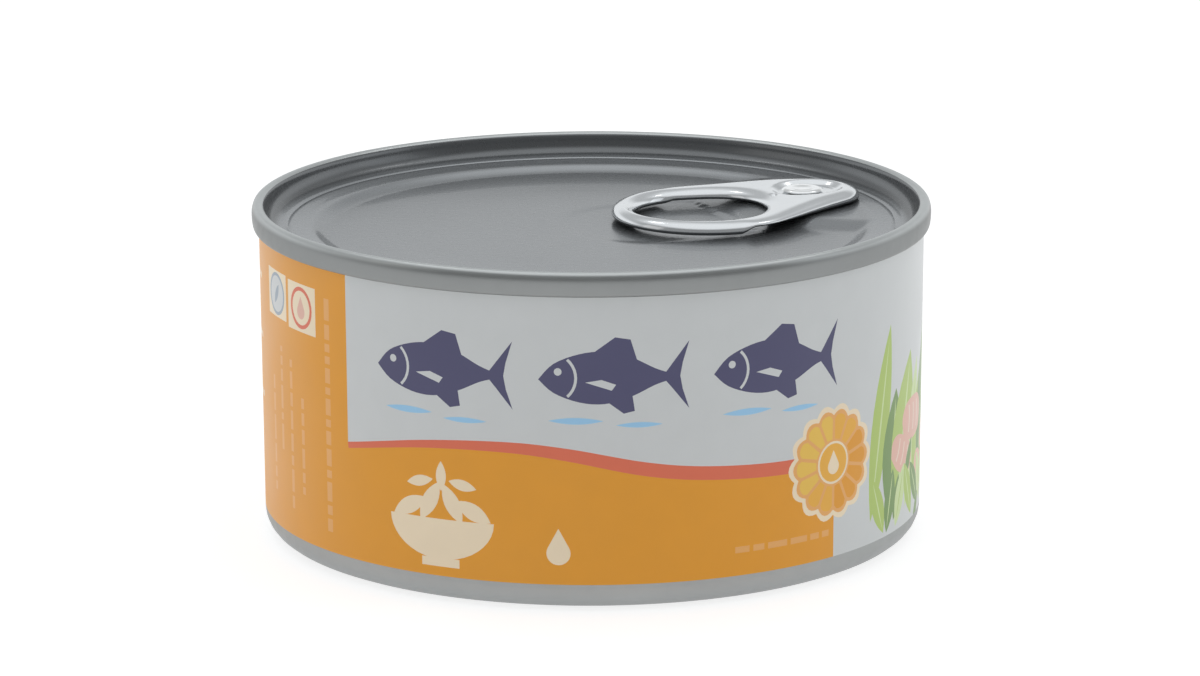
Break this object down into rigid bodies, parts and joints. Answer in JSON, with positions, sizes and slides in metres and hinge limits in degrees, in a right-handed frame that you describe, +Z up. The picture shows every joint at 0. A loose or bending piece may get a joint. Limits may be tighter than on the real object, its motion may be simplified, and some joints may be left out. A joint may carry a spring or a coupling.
{
  "type": "tuna can",
  "caption": "Shut short round tuna can: printed drawn body, seamed end with a sunken panel and a riveted ring pull.",
  "frame": {"origin": "middle of the base, on the surface that the can stands on", "axes": "+Z up along the can's axis, -Y to the printed front, +X to the right of the front; the tab's nose points 26.7 degrees from +X towards +Y, on an end whose own mirror plane is turned 24.2 degrees"},
  "size_m": [0.0874, 0.0874, 0.0429],
  "materials": {
    "printed_wall": "satin printed and varnished tinplate with bare metal at the base",
    "end_metal": "satin",
    "tab_metal": "bright satin"
  },
  "bodies": {
    "root": {"can_body": "printed_wall", "can_end": "end_metal", "ring_tab": "tab_metal"}
  },
  "joints": []
}
